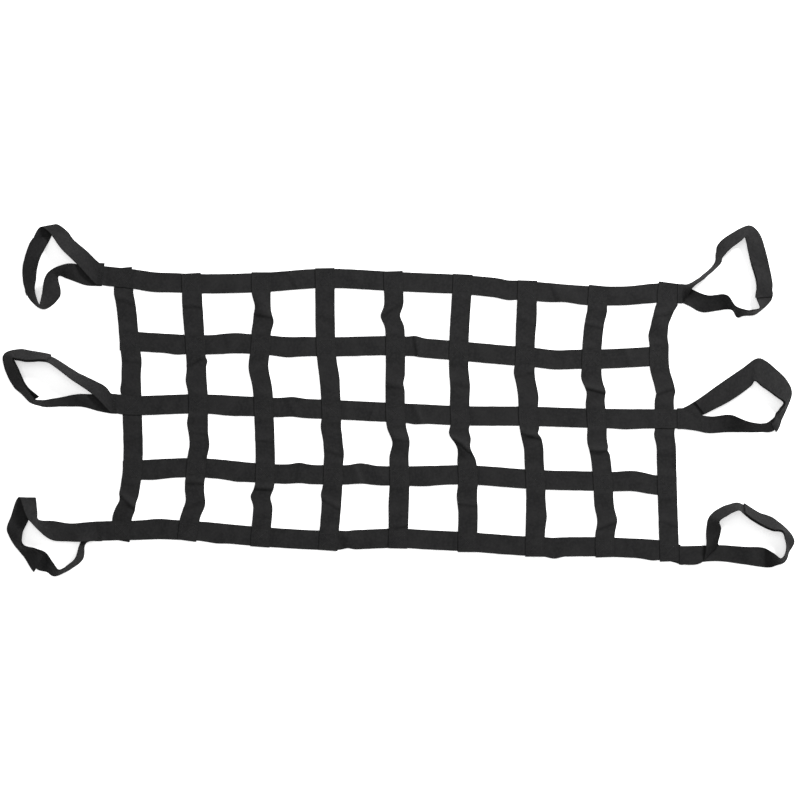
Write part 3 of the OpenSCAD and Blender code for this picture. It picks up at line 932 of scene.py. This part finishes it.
# along a stitch: the share of its length, and how thick it is there
STITCH = ((0.0, 0.35), (0.22, 1.0), (0.78, 1.0), (1.0, 0.35))
STITCH_WIDE, STITCH_TALL = 0.75, 0.8  # half its width and its height, as shares of the thread
STITCH_SUNK, STITCH_TOP = 0.4, 0.6  # how deep it is sunk, and how wide its top is, as shares of those
BOX = 0.0125  # half the side of the sewn square
SEAM_HALF = 0.0155  # half the length of a row across a strap's end
SEAM_WIDE = 1.5  # how much wider a seam's thread is than a box's


class Stitches:
    """Many small stitches in one mesh."""

    def __init__(self, wide=1.0):
        self.points, self.faces, self.wide = [], [], wide

    def one(self, a, b, up):
        """One stitch between two points of a surface that faces up."""
        along = b - a
        side = unit(np.cross(up, along)) * THREAD * STITCH_WIDE * self.wide
        lift = up * THREAD * STITCH_TALL
        start = len(self.points)
        for share, size in STITCH:
            p = a + along * share
            self.points += [
                p - side * size - lift * STITCH_SUNK,
                p - side * size * STITCH_TOP + lift * size,
                p + side * size * STITCH_TOP + lift * size,
                p + side * size - lift * STITCH_SUNK,
            ]
        end = len(self.points) - 4
        for i in range(start, end, 4):
            for j in range(4):
                self.faces.append([i + j, i + (j + 1) % 4, i + 4 + (j + 1) % 4, i + 4 + j])
        self.faces.append([start + 3, start + 2, start + 1, start])
        self.faces.append([end + j for j in range(4)])

    def line(self, surface, a, b):
        """A row of stitches on a surface, from one place to another on it."""
        a, b = np.array(a, float), np.array(b, float)
        count = max(int(round(np.linalg.norm(b - a) / PITCH)), 1)
        gap = (b - a) / count
        for k in range(count):
            p, q = a + gap * (k + GAP_SHARE), a + gap * (k + 1 - GAP_SHARE)
            self.one(*surface(p, q))

    def build(self, name):
        mesh = bpy.data.meshes.new(name)
        mesh.from_pydata([list(map(float, p)) for p in self.points], [], self.faces)
        mesh.polygons.foreach_set("use_smooth", np.ones(len(mesh.polygons), bool))
        mesh.update()
        obj = bpy.data.objects.new(name, mesh)
        bpy.context.collection.objects.link(obj)
        return obj


def flat_at(tie):
    """The top of a tie's sewn end: how far in from the arms' first station, and how far across it."""

    def surface(p, q):
        up = np.array([0, 0, 1.0])
        a, b = (tie.seam_from - tie.way * inward + tie.seam_across * x for inward, x in (p, q))
        return a, b, up

    return surface


def on_arm(tie, arm):
    """The top of a tie's arm beyond its root: how far out, and how far across the arm."""
    sewn = tie.overlap + SEWN_PAST
    grid, run = tie.cloth[arm]
    normals = grid_normals(grid)
    profile = [p[0] for p in STRAP_PROFILE]

    def surface(p, q):
        spots, ups = [], []
        for outward, x in (p, q):
            place = sewn + outward if arm == "loop_arm" else run[-1] - sewn - outward
            row = np.interp(place, run, range(len(run)))
            column = np.interp(x, profile, range(len(profile)))
            i, j = int(row), int(column)
            u, v = row - i, column - j
            spot, up = (
                (1 - u) * ((1 - v) * g[i, j] + v * g[i, j + 1])
                + u * ((1 - v) * g[i + 1, j] + v * g[i + 1, j + 1])
                for g in (grid, normals)
            )
            up = unit(up) * np.sign(up[2])
            spots.append(spot + up * HALF_THICK)
            ups.append(up)
        return spots[0], spots[1], unit(ups[0] + ups[1])

    return surface


def on_strap(strap):
    """The top of a flat strap: how far along it, and how far across it."""

    def surface(p, q):
        up = np.array([0, 0, 1.0])
        a, b = (strap.point(np.array(s), np.array(x)) + up * HALF_THICK for s, x in (p, q))
        return a, b, up

    return surface


for side in ("left", "right"):
    columns = [c for c in COLUMNS if (c <= LAST_LEFT) == (side == "left")]
    boxes = Stitches()
    for c in columns:
        for r in ROWS:
            if (r, c) in LONG_ON_TOP:
                strap, where = long_straps[r], long_straps[r].at_crossing[long_number(c)]
            else:
                strap, where = cross_straps[c], cross_straps[c].at_crossing[r]
            surface = on_strap(strap)
            square = [(where - BOX, -BOX), (where - BOX, BOX), (where + BOX, BOX), (where + BOX, -BOX)]
            for k in range(4):
                boxes.line(surface, square[k], square[(k + 1) % 4])
            boxes.line(surface, square[0], square[2])
            boxes.line(surface, square[1], square[3])
    obj = boxes.build(f"box_stitching_{side}_thread")
    dress(obj, BOX_THREAD, [f"box_stitching_{side}"])
    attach(obj, f"net_{side}")

for side in ("left", "right"):
    rows = Stitches(SEAM_WIDE)
    for tie in ties:
        if tie.net == f"net_{side}":
            for inward in SEAMS[tie.key]:
                rows.line(flat_at(tie), (inward, -SEAM_HALF), (inward, SEAM_HALF))
    obj = rows.build(f"seam_stitching_{side}_thread")
    dress(obj, SHADED_SEAM_THREAD, [f"seam_stitching_{side}"])
    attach(obj, f"net_{side}")

for tie in ties:
    if tie.key in ARM_SEAMS:
        arm, places = ARM_SEAMS[tie.key]
        rows = Stitches(SEAM_WIDE)
        for first, second in places:
            rows.line(on_arm(tie, arm), (first, -SEAM_HALF), (second, SEAM_HALF))
        obj = rows.build(f"arm_stitching_{tie.key}_thread")
        obj.data.materials.append(SHADED_SEAM_THREAD)
        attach(obj, tie.body)

# ---- camera and light ----


def area_light(name, place, size, power, aim=(0, 0, 0)):
    data = bpy.data.lights.new(name, "AREA")
    data.shape = "DISK"
    data.size = size
    data.energy = power
    light = bpy.data.objects.new(name, data)
    light.location = place
    way = np.array(aim) - np.array(place)
    light.rotation_euler = Vector(way).to_track_quat("-Z", "Y").to_euler()
    bpy.context.collection.objects.link(light)


FRAME_WIDTH = 1.5552  # what the picture spans on the floor
FRAME_MIDDLE = (0.0019, 0.0006)
LENS = 85.0
SENSOR = 36.0
camera_data = bpy.data.cameras.new("camera")
camera_data.lens = LENS
camera_data.sensor_width = SENSOR
camera = bpy.data.objects.new("camera", camera_data)
camera.location = (*FRAME_MIDDLE, FRAME_WIDTH * LENS / SENSOR)
bpy.context.collection.objects.link(camera)
bpy.context.scene.camera = camera

area_light("overhead", place=(-0.3, 0.6, 3.8), size=2.4, power=45)
area_light("key", place=(2.1, 2.6, 2.4), size=1.2, power=250)

WORLD_LIGHT = 0.45
world = bpy.data.worlds.new("studio")
world.use_nodes = True
world.node_tree.nodes["Background"].inputs[0].default_value = (1, 1, 1, 1)
world.node_tree.nodes["Background"].inputs[1].default_value = WORLD_LIGHT
bpy.context.scene.world = world
bpy.context.scene.view_settings.view_transform = "Standard"

bpy.context.view_layer.update()
